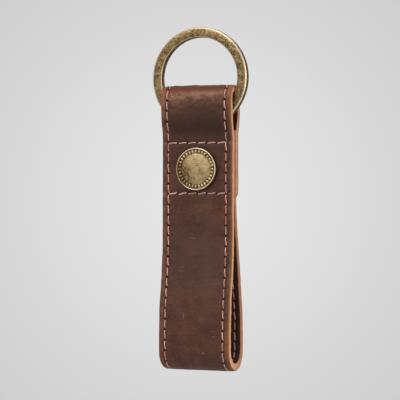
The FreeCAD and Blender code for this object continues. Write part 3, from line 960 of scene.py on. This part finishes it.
# %% The tack
PIN_RADIUS = 1.2
PIN_REACH = 5.9                 # from the back of the leather into the cap
HEAD_EDGE = 0.35                # the height of the head's edge, as a share of its middle's
head_height = tack_top - stack_face
head = [(tack_radius * math.sin(a), head_height * (HEAD_EDGE + (1 - HEAD_EDGE) * math.cos(a)), 0.5)
        for a in np.linspace(0, math.pi / 2, 14)]
under = [(tack_radius - 0.03, 0.16, 0.4), (tack_radius - 0.12, 0.06, 0.1), (tack_radius - 0.3, 0.0, 0.0)]
pin = [(PIN_RADIUS + 0.15, 0.0, 0.0), (PIN_RADIUS, -0.15, 0.0), (PIN_RADIUS, 0.3 - PIN_REACH, 0.0),
       (PIN_RADIUS - 0.2, -PIN_REACH + 0.03, 0.0), (0, -PIN_REACH, 0.0)]
tack = turned("stud_tack_metal", head + under + pin, stack_face, 1)
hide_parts("stud_tack")

# %% [markdown]
# The sunk band of the cap carries plain beading: a ring of small oval beads, all alike, standing out of the
# dark patina. Each bead sits on a point of a circle, with its long axis along the radius. Repeating one bead
# on points is what Instance on Points is for.

# %% The beading
BEADS = 32
BEAD_RING = 6.06
BEAD_LENGTH, BEAD_WIDTH, BEAD_HEIGHT = 1.4, 0.78, 0.3
BEAD_SINK = 0.02                # into the band's floor
BEAD_UNEVENNESS = 0.12

brass_finish = bpy.data.materials.new("brass_finish")


def beading_tree():
    """A geometry tree that sets beads on a circle about the stud's axis."""
    bench = MeshBench("beading", Float="Radius Length Width Height Unevenness", Int="Count Seed",
                      Vector="Centre")
    given = bench.given
    circle = bench.node("GeometryNodeCurvePrimitiveCircle", {"mode": "RADIUS"}, {
        "Resolution": given["Count"], "Radius": given["Radius"]})
    upright = bench.node("GeometryNodeTransform", {}, {"Geometry": circle, "Rotation": (math.pi / 2, 0, 0)})
    ball = bench.node("GeometryNodeMeshUVSphere", {}, {"Segments": 12, "Rings": 8, "Radius": 1.0})
    spot = bench.node("GeometryNodeInputPosition")
    rubbed = bench.combine(0.0, 0.0, spot.parts()[2].step(0.1, 0.8) * 0.7)
    marked = bench.store(ball, "metal", rubbed, "FLOAT_VECTOR")
    size = bench.combine(given["Length"] * 0.5, given["Width"] * 0.5, given["Height"])
    bead = bench.node("GeometryNodeTransform", {}, {"Geometry": marked, "Scale": size})
    aim = bench.node("FunctionNodeAxesToRotation", {"primary_axis": "Z", "secondary_axis": "X"}, {
        "Primary Axis": (0, -1, 0), "Secondary Axis": spot})
    fullness = 1 - bench.luck(0.0, given["Unevenness"])
    placed = bench.node("GeometryNodeInstanceOnPoints", {}, {
        "Points": upright, "Instance": bead, "Rotation": aim,
        "Scale": bench.combine(fullness, fullness, fullness)})
    moved = bench.node("GeometryNodeTransform", {}, {"Geometry": placed, "Translation": given["Centre"]})
    return bench.end(moved, brass_finish)


band_middle = (0.0, -(stack_face + BAND_FLOOR - BEAD_SINK) * MM, stud_z * MM)
beading = grow(link("stud_cap_beading", bpy.data.meshes.new("stud_cap_beading")), beading_tree(),
               Radius=BEAD_RING * MM, Length=BEAD_LENGTH * MM, Width=BEAD_WIDTH * MM,
               Height=BEAD_HEIGHT * MM, Unevenness=BEAD_UNEVENNESS, Count=BEADS, Seed=3, Centre=band_middle)
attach(beading, "strap")
print("beading:", len(beading.data.polygons), "faces")

# %% [markdown]
# ## The finishes
#
# Each material is a Principled shader whose colour, roughness and bump vary over the surface. Colours are
# written as they are seen, in sRGB, and turned into the linear numbers that a shader adds up.

# %% Helpers for paint


def paint(code):
    """A colour such as 6b4a3c, seen on a screen, as linear red, green, blue and alpha."""
    seen = [int(code[k:k + 2], 16) / 255 for k in (0, 2, 4)]
    return (*(c / 12.92 if c <= 0.04045 else ((c + 0.055) / 1.055) ** 2.4 for c in seen), 1.0)


class Paint(Bench):
    """A material's node tree, with the nodes that finishes use most."""

    def __init__(self, material):
        material.use_nodes = True
        material.node_tree.nodes.clear()
        super().__init__(material.node_tree)

    def mark(self, name, out="Vector"):
        """A piece's own attribute."""
        return self.node("ShaderNodeAttribute", {"attribute_name": name}, {}, out)

    def cloud(self, place, scale, detail=3.0, roughness=0.55, stretch=None, warp=0.0):
        """Noise between 0 and 1, with scale in cells per unit of place."""
        if stretch:
            place = self.vector("MULTIPLY", place, stretch)
        return self.node("ShaderNodeTexNoise", {}, {
            "Vector": place, "Scale": scale, "Detail": detail, "Roughness": roughness, "Distortion": warp})

    def cells(self, place, scale):
        """Distance from the borders of scattered cells."""
        return self.node("ShaderNodeTexVoronoi", {"feature": "DISTANCE_TO_EDGE"}, {
            "Vector": place, "Scale": scale})

    def mix(self, share, first, second):
        """A colour between two."""
        return self.node("ShaderNodeMix", {"data_type": "RGBA"}, {"Factor": share, "A": first, "B": second})

    def coats(self, colour, *layers):
        """A colour under coats of other colours, each given as (how strong it is where, its code)."""
        for share, code in layers:
            colour = self.mix(share, colour, paint(code))
        return colour

    def dents(self, height):
        """A bump from a height in millimetres."""
        return self.node("ShaderNodeBump", {}, {"Strength": 1.0, "Distance": MM, "Height": height})

    def finish(self, **sockets):
        """End in a Principled shader; a name's underscores stand for spaces."""
        inputs = {name.replace("_", " "): value for name, value in sockets.items()}
        shader = self.node("ShaderNodeBsdfPrincipled", {}, inputs)
        self.node("ShaderNodeOutputMaterial", {}, {"Surface": shader}, None)


# %% [markdown]
# Oiled pull-up leather is dark brown where it lies flat and turns lighter and redder where it is stretched or
# rubbed: over the fold, and in the margins outside the seams. Awl holes are painted dark, as painted shade in
# their pits. The cut edge shows the raw tan of the hide, in fibres that run along the strip, and the flesh
# side is dark and fuzzy. Painted shade also lies below the fold, on its crown and on the cut edge where the
# layers meet, and painted highlights lie on the fold's creases. All of it is mixed by where a point lies on
# the strip.
#
# Numbers in a mask are places and widths in millimetres, or the bounds of a noise that runs from 0 to 1. The
# last factor says how strong a coat is. The patterns come first, because several coats share them.

# %% Leather: where things are, and the patterns
SCRATCHES = (  # across, height, and how far each one reaches across and along
    (-1.6, -69.3, 1.8, 0.3), (-5.6, -79.4, 1.6, 0.25), (-5.3, -80.7, 1.3, 0.25), (-3.7, -95.8, 0.25, 1.7),
    (7.2, -101.0, 1.5, 0.25), (7.6, -102.8, 1.8, 0.3), (3.6, -108.4, 0.9, 0.5))

leather_finish = bpy.data.materials.new("leather_finish")
hide = Paint(leather_finish)
spot = hide.mark("strip")
across, along, level = spot.parts()
off_seam = abs(across) - seam_x
inward = half_width - abs(across)
fold = along - fold_length                          # negative on the front leg
right_hand = across.step(8, 11)
margin = off_seam.step(0.4, 1.2)
seam_holes = off_seam.hill(0.75) * nearest_hole(along, STITCH, SEAM_START).hill(0.65)
rows = sum(((along - place).hill(0.55) for pair in row_lengths.values() for place in pair), 0)
row_holes_across = nearest_hole(across, row_pitch, -seam_x).hill(0.55)
holes = seam_holes.most(rows * row_holes_across * off_seam.step(0.6, 0.3))

blotch = hide.cloud(spot, 0.12, 4.0, 0.6)
mottle = hide.cloud(spot, 0.6, 4.0, 0.65, (1.0, 0.8, 1.0))
fine = hide.cloud(spot, 2.6, 3.0, 0.6, (0.45, 1.0, 1.0))
crease = hide.cloud(spot, 1.3, 4.0, 0.6, (0.3, 1.0, 1.0), 0.8)
streak = hide.cloud(spot, 0.9, 3.0, 0.65, (0.16, 1.0, 1.0))
hide.tell("the leather, with its patterns,")

# %% Leather: the flat of the grain side
WAIST_Z, BELOW_ROW_Z, LOW_Z = -75, -59, -106        # heights on the front leg


def near(height, reach):
    """1 at a height of the front leg, falling to 0 over a reach both ways."""
    return (along - front_length(height)).hill(reach)


waist = near(WAIST_Z, 15)
grain = hide.coats(
    hide.mix(blotch.step(0.35, 0.68), paint("422318"), paint("533224")),
    (mottle.step(0.45, 0.75) * 0.3, "6b3f2d"),
    (mottle.step(0.48, 0.3) * 0.25, "44332f"),
    (fine.step(0.45, 0.72) * 0.32, "724a37"),
    (waist * off_seam.step(0.0, -4.0) * 0.45, "46302c"))
# fine creases and streaks; by height, a little darker at the waist as a painted shade where the leg bows, and
# lighter just below the lower row and near the bottom
grain = hide.scaled(grain, 0.9 + 0.12 * crease.step(0.35, 0.65) + 0.16 * streak.step(0.35, 0.65)
                    + 0.11 * near(BELOW_ROW_Z, 5) - 0.02 * waist + 0.05 * near(LOW_Z, 12))
scratched = sum(((across - x).hill(wide) * near(z, high) for x, z, wide, high in SCRATCHES), 0)
grain = hide.coats(grain, (scratched * fine.step(0.3, 0.6) * 0.65, "9c785f"))
above_row = along.step(row_lengths["lower"][0] - 0.8, row_lengths["lower"][0] + 0.8)
grain = hide.scaled(grain, 1.01 - 0.15 * above_row * across.step(-9, 6) - 0.05 * above_row)
hide.tell("the leather, with the flat of its grain,")

# %% Leather: the pull-up over the fold, with painted shade and highlights
ragged = fold - 0.09 * across + 5 * (crease - 0.5) + 3 * (mottle - 0.5)     # the fold with an uneven edge
pull = (ragged + 3.7).hill(5.2)
lines = hide.cloud(spot, 1.15, 2.0, 0.55, (0.4, 1.0, 1.0), 1.2)
wrinkle = abs(lines - 0.5).step(0.045, 0.0)
grain = hide.coats(
    grain,
    ((fold + 15).hill(9.0) * 0.7, "30140c"),                                # painted shade below the fold, where the leg faces a little downwards
    (pull * 0.85, "76432b"),
    (pull * mottle.step(0.4, 0.7) * 0.35, "a07150"),
    (pull * wrinkle * 0.48, "bd937a"),                                      # painted highlight on the crests of the creases, with the pull-up's lighter colour
    (pull * abs(lines - 0.57).step(0.05, 0.0) * 0.6, "4a2414"),             # and painted shade beside them
    # a painted highlight along the fold
    ((ragged + 4.6).hill(1.3) * 0.3, "b08a78"),
    (fold.step(-4.4, -2.8) * fold.step(6.0, 2.0) * 0.9, "622a0a"))          # the top of the fold
hide.tell("the leather, with its fold,")

# %% Leather: the margins and the holes, with painted shade in the holes and on the fold's crown
RUB_Z = -105                    # height on the front leg

low_rub = near(RUB_Z, 10) * right_hand
grain = hide.coats(
    grain,
    (margin * mottle.step(0.35, 0.62) * (1 - right_hand), "7d5038"),
    (margin * right_hand * mottle.step(0.44, 0.34) * 0.7, "40383a"),
    (right_hand * inward.step(1.5, 0.7) * mottle.step(0.4, 0.56) * 0.75, "66482a"),
    (inward.step(1.3, 0.5) * (1 - right_hand) * mottle.step(0.65, 0.4) * 0.7, "4c3a30"),
    (margin * ragged.hill(15.0) * (0.5 + 0.4 * mottle.step(0.35, 0.6)), "9c6238"),
    (low_rub * inward.step(1.9, 1.1) * mottle.step(0.3, 0.6) * 0.8, "8f5428"),
    (margin * rows * 0.45, "94705e"),
    (off_seam.hill(1.8) * mottle.step(0.3, 0.65) * 0.6, "66301f"),          # stretched along the seam
    (inward.step(0.55, 0.3) * (0.2 + 0.6 * right_hand), "8a5730"))          # the worn corner
# painted shade along the crown of the fold
grain = hide.scaled(grain, 1 - 0.5 * fold.hill(3.0))
# the awl holes painted near black, as painted shade in their pits
grain = hide.coats(grain, ((holes * 1.3).least(0.97), "200602"))
hide.tell("the leather, with its margins and holes,")

# %% Leather: the cut edge and the flesh side
edge = level.step(0.93, 0.6) * level.step(-0.995, -0.93)
ends = along.step(0.35, 0.15).most((strip_length - along).step(0.35, 0.15))
cut = (edge + ends).least(1.0)
behind = fold.step(0, 8)
back_leg = along.step(bend_length + 4, bend_length - 8)
fibre = hide.cloud(spot, 1.4, 4.0, 0.65, (3.0, 0.6, 3.5))
raw = hide.coats(
    hide.mix(fibre.step(0.3, 0.7), paint("dc9266"), paint("fcc8a0")),
    (blotch.step(0.5, 0.6) * behind * 0.7, "cc7f63"),
    (level.step(0.3, 0.8) * 0.7, "a0602f"),                                 # browned next to the grain
    (level.step(-0.7, 0.1) * behind * 0.8, "8c6250"),
    # painted shade on the cut edge beside the flesh side, where the layers meet, broken up by the fibres
    (level.step(-0.7, -0.97) * fibre.step(0.55, 0.4) * 0.5, "9a5b34"),
    (back_leg * 0.75, "a06548"))
fuzz = hide.cloud(spot, 3.0, 4.0, 0.7)
flesh = hide.mix(fuzz.step(0.3, 0.7), paint("2f1a12"), paint("553424"))
# painted shade at the awl holes on the flesh side
flesh = hide.scaled(flesh, 1 - 0.7 * seam_holes)
hide.tell("the leather, with its cut edge and flesh side,")

# %% Leather: its relief and gloss
side = level.step(-0.75, 0.75)
colour = hide.mix(cut, hide.mix(side, flesh, grain), raw)
pores = hide.cells(spot, 1.6).step(0.0, 0.2)
grain_height = 0.02 * fine + 0.012 * pores + 0.03 * mottle + 0.05 * pull * crease + 0.03 * pull * wrinkle
height = side * grain_height + (1 - side) * (0.08 * fuzz) + cut * (0.05 * fibre)
rough = (0.5 + 0.12 * fine - 0.06 * pull + 0.25 * fold.hill(5.0) + 0.3 * cut + 0.3 * (1 - side) * (1 - cut)
         + 0.5 * holes).least(1.0)
hide.finish(Base_Color=colour, Roughness=rough, Normal=hide.dents(height), IOR=1.36)
strap.data.materials.append(leather_finish)
hide.tell("the leather's finish")

# %% [markdown]
# The thread is a waxed two-ply cord of pinkish tan. A painted highlight lies on the crests of its plies, and
# painted shade darkens the groove between them and the ends where it goes down into a hole.

# %% Thread
cord = Paint(thread_finish)
tone, end_place, ply = (cord.mark(f"thread_{name}", "Fac") for name in ("tone", "end", "ply"))
object_place = cord.node("ShaderNodeTexCoord", {}, {}, "Object")
lint = cord.cloud(object_place, 3000.0, 2.0)
soil = cord.cloud(object_place, 700.0, 3.0, 0.7)
# painted highlight on the crests of the plies and painted shade in the groove between them, then lint and
# soil
thread_colour = cord.coats(
    cord.mix(ply.step(-1.0, 0.6), paint("905643"), paint("fcceba")),
    (lint * 0.3, "b07a62"),
    (soil.step(0.45, 0.7) * 0.5, "7c4a3c"))
# a random tone for each stitch, and painted shade at the ends that go down into the holes
thread_colour = cord.scaled(thread_colour, (1 + 0.3 * tone) * (1 - 0.8 * end_place.step(0.84, 1.0)))
cord.finish(Base_Color=thread_colour, Roughness=0.55 + 0.2 * lint, Normal=cord.dents(0.06 * lint),
            Sheen_Weight=0.2)
cord.tell("the thread's finish")

# %% [markdown]
# Antique brass is brass that was darkened all over and then rubbed: a dark olive brown stays in hollows and
# scattered mottles, and edges, rims and crowns shine through pale, a pale that also serves as a painted
# highlight. The wear comes from each piece's own third mark, and noise breaks it up. Painted shade darkens
# the ring's walls, most of all in its hole, the cap's lower left and the ring's right side. The hub inside
# the cap is out of sight, so the CAD's own piece stays and only gets this finish.

# %% Antique brass
CAP_SHADE_PLACE = (-6.5, -stack_face, stud_z - 2.5)      # on the cap's lower left, which is painted darker as painted shade

brass = Paint(brass_finish)
wear_and_shade = brass.mark("metal").parts()[2]
metal_place = brass.vector("MULTIPLY", brass.node("ShaderNodeTexCoord", {}, {}, "Object"), (1000.0,) * 3)
metal_x, _, metal_z = metal_place.parts()
clouds = brass.cloud(metal_place, 0.55, 4.0, 0.65)
speck = brass.cloud(metal_place, 2.6, 3.0, 0.7)
scuffs = brass.cloud(metal_place, 1.2, 3.0, 0.6, (1.0, 1.0, 3.0), 1.0)
# painted shade that darkens the cap's lower left
cap_shade = 0.45 * brass.vector("DISTANCE", metal_place, CAP_SHADE_PLACE, "Value").step(7.5, 2.5)
on_ring = metal_z.step(-38.0, -34.0)                # the stud lies lower than that
# painted shade that darkens the ring's right side a little
ring_right_shade = 0.1 * on_ring * metal_x.step(12.0, 15.0)
rub = (wear_and_shade - cap_shade - ring_right_shade + 1.8 * (clouds - 0.5) + (2.3 + 0.8 * on_ring) * (speck - 0.5)).step(-0.6, 1.1)
metal_colour = brass.coats(
    brass.mix(rub, paint("48351e"), paint("d2b484")),
    # bare brass where it is rubbed, pale enough to stand for a painted highlight too, and held back by the
    # painted shade on the cap's lower left
    ((wear_and_shade - cap_shade).step(0.5, 1.0) * (0.85 - 0.25 * on_ring), "f0e2c2"),
    # painted shade on the walls, darkest in the ring's hole
    (wear_and_shade.step(-0.55, -0.95) * 0.75, "2b2115"),
    (scuffs.step(0.55, 0.72) * 0.3, "94784e"))
metal_rough = 0.5 - 0.16 * rub + 0.1 * speck
brass.finish(Base_Color=metal_colour, Metallic=1.0, Roughness=metal_rough,
             Normal=brass.dents(0.02 * speck + 0.02 * clouds + 0.012 * scuffs))
for piece in (ring, cap, tack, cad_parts["stud_hub"]):
    piece.data.materials.clear()
    piece.data.materials.append(brass_finish)
brass.tell("the brass")

# %% [markdown]
# ## The stage
#
# A plain pale floor lies well below the hanging strap. The world is a plain pale grey where the camera, metal
# or glass see it, a little darker away from the level, and gives a softer, lower light to the object itself,
# so that the lamps can shape it. A large soft lamp stands at the upper left, another lies overhead, and a
# weaker one fills from the right.

# %% The floor
FLOOR_DROP = 300.0
FLOOR_RADIUS = 1200.0
FLOOR_TONES = ((0.62, 0.62, 0.625, 1), (0.66, 0.66, 0.665, 1))


def floor():
    """A pale disc under the object."""
    mesh = bpy.data.meshes.new("floor")
    work = bmesh.new()
    bmesh.ops.create_circle(work, cap_ends=True, segments=96, radius=FLOOR_RADIUS * MM)
    bmesh.ops.translate(work, verts=work.verts, vec=(0, 0, -FLOOR_DROP * MM))
    work.to_mesh(mesh)
    work.free()
    disc = link("floor", mesh)
    finish = bpy.data.materials.new("floor_finish")
    ground = Paint(finish)
    soft = ground.cloud(ground.node("ShaderNodeTexCoord", {}, {}, "Object"), 6.0, 2.0)
    ground.finish(Base_Color=ground.mix(soft, *FLOOR_TONES), Roughness=0.8)
    mesh.materials.append(finish)
    print("the floor lies", FLOOR_DROP, "mm below the origin")


floor()

# %% The world
VIEW_AZIMUTH = 22               # where the camera stands
GLOW = 152.0                    # how tight the glow on the backdrop is
BACKDROP, FADE, DARKEST = 0.826, 0.145, 0.62
COOL = 1.005                    # how much bluer than grey the backdrop is
SKY_LIGHT = (0.45, 0.45, 0.455, 1)


def direction(azimuth, elevation):
    """From the object towards a place around it; azimuth 0 is the front and 90 its right."""
    a, e = math.radians(azimuth), math.radians(elevation)
    return Vector((math.sin(a) * math.cos(e), -math.cos(a) * math.cos(e), math.sin(e)))


def sky():
    """The world: pale to the eye, softer as a light."""
    world = bpy.data.worlds.new("studio")
    bpy.context.scene.world = world
    world.use_nodes = True
    world.node_tree.nodes.clear()
    bench = Bench(world.node_tree)
    rays = bench.node("ShaderNodeLightPath").socket.node
    seen = [Wire(bench, rays.outputs[f"Is {kind} Ray"]) for kind in ("Camera", "Glossy", "Transmission")]
    seen = seen[0].most(seen[1]).most(seen[2])
    looking = bench.node("ShaderNodeTexCoord", {}, {}, "Generated")
    straight = bench.vector("DOT_PRODUCT", looking, tuple(-direction(VIEW_AZIMUTH, 0)), "Value")
    spread = ((1 - straight) * GLOW + 0.04).math("SQRT")
    pale = (BACKDROP - FADE * spread).most(DARKEST)
    seen_colour = bench.combine(pale, pale, pale * COOL)
    view = bench.node("ShaderNodeBackground", {}, {"Color": seen_colour, "Strength": 1.0})
    light = bench.node("ShaderNodeBackground", {}, {"Color": SKY_LIGHT, "Strength": 1.0})
    both = bench.node("ShaderNodeMixShader", {}, {0: seen, 1: light, 2: view})
    bench.node("ShaderNodeOutputWorld", {}, {"Surface": both}, None)
    bench.tell("the world")


sky()

# %% [markdown]
# Lamps are placed by where they stand around the object: a direction in degrees, a height in degrees and a
# distance. Their power is worked out from the brightness they should give to white paper, so that colours
# render about as they are written.

# %% The lamps
LAMPS = {  # azimuth, elevation, distance, width and height in metres, and brightness
    "key": (-14, 36, 0.9, 0.5, 0.5, 0.36),
    "top": (10, 72, 0.8, 0.6, 0.5, 0.3),
    "fill": (78, 8, 1.0, 0.35, 0.7, 0.22),
    "back": (190, 35, 1.1, 0.7, 0.6, 0.3),
}
middle = Vector((0, 0, (cad_box[0][2] + cad_box[1][2]) / 2))


def aim(thing, target, azimuth, elevation, distance):
    """Stand a lamp or camera around a target and turn it to face it."""
    away = direction(azimuth, elevation)
    thing.location = target + away * distance
    thing.rotation_euler = (-away).to_track_quat("-Z", "Y").to_euler()
    bpy.context.scene.collection.objects.link(thing)


for name, (azimuth, elevation, distance, width, height, brightness) in LAMPS.items():
    lamp = bpy.data.lights.new(name, "AREA")
    lamp.shape = "RECTANGLE"
    lamp.size, lamp.size_y = width, height
    lamp.energy = brightness * (math.pi * distance) ** 2
    aim(bpy.data.objects.new(name, lamp), middle, azimuth, elevation, distance)
    print("lamp", name, round(lamp.energy, 2), "W")

# %% The camera
CAMERA_DISTANCE = 0.6
VIEW_HEIGHT = 0.1382            # of the picture, at the object
VIEW_MIDDLE = Vector((-0.15, 0, -56.15)) * MM
SENSOR = 36                     # its width in millimetres

camera = bpy.data.cameras.new("camera")
camera.sensor_width = SENSOR
camera.lens = SENSOR * CAMERA_DISTANCE / VIEW_HEIGHT
eye = bpy.data.objects.new("camera", camera)
aim(eye, VIEW_MIDDLE, VIEW_AZIMUTH, 0, CAMERA_DISTANCE)
bpy.context.scene.camera = eye
bpy.context.scene.view_settings.view_transform = "Standard"
print("camera", round(camera.lens, 1), "mm")
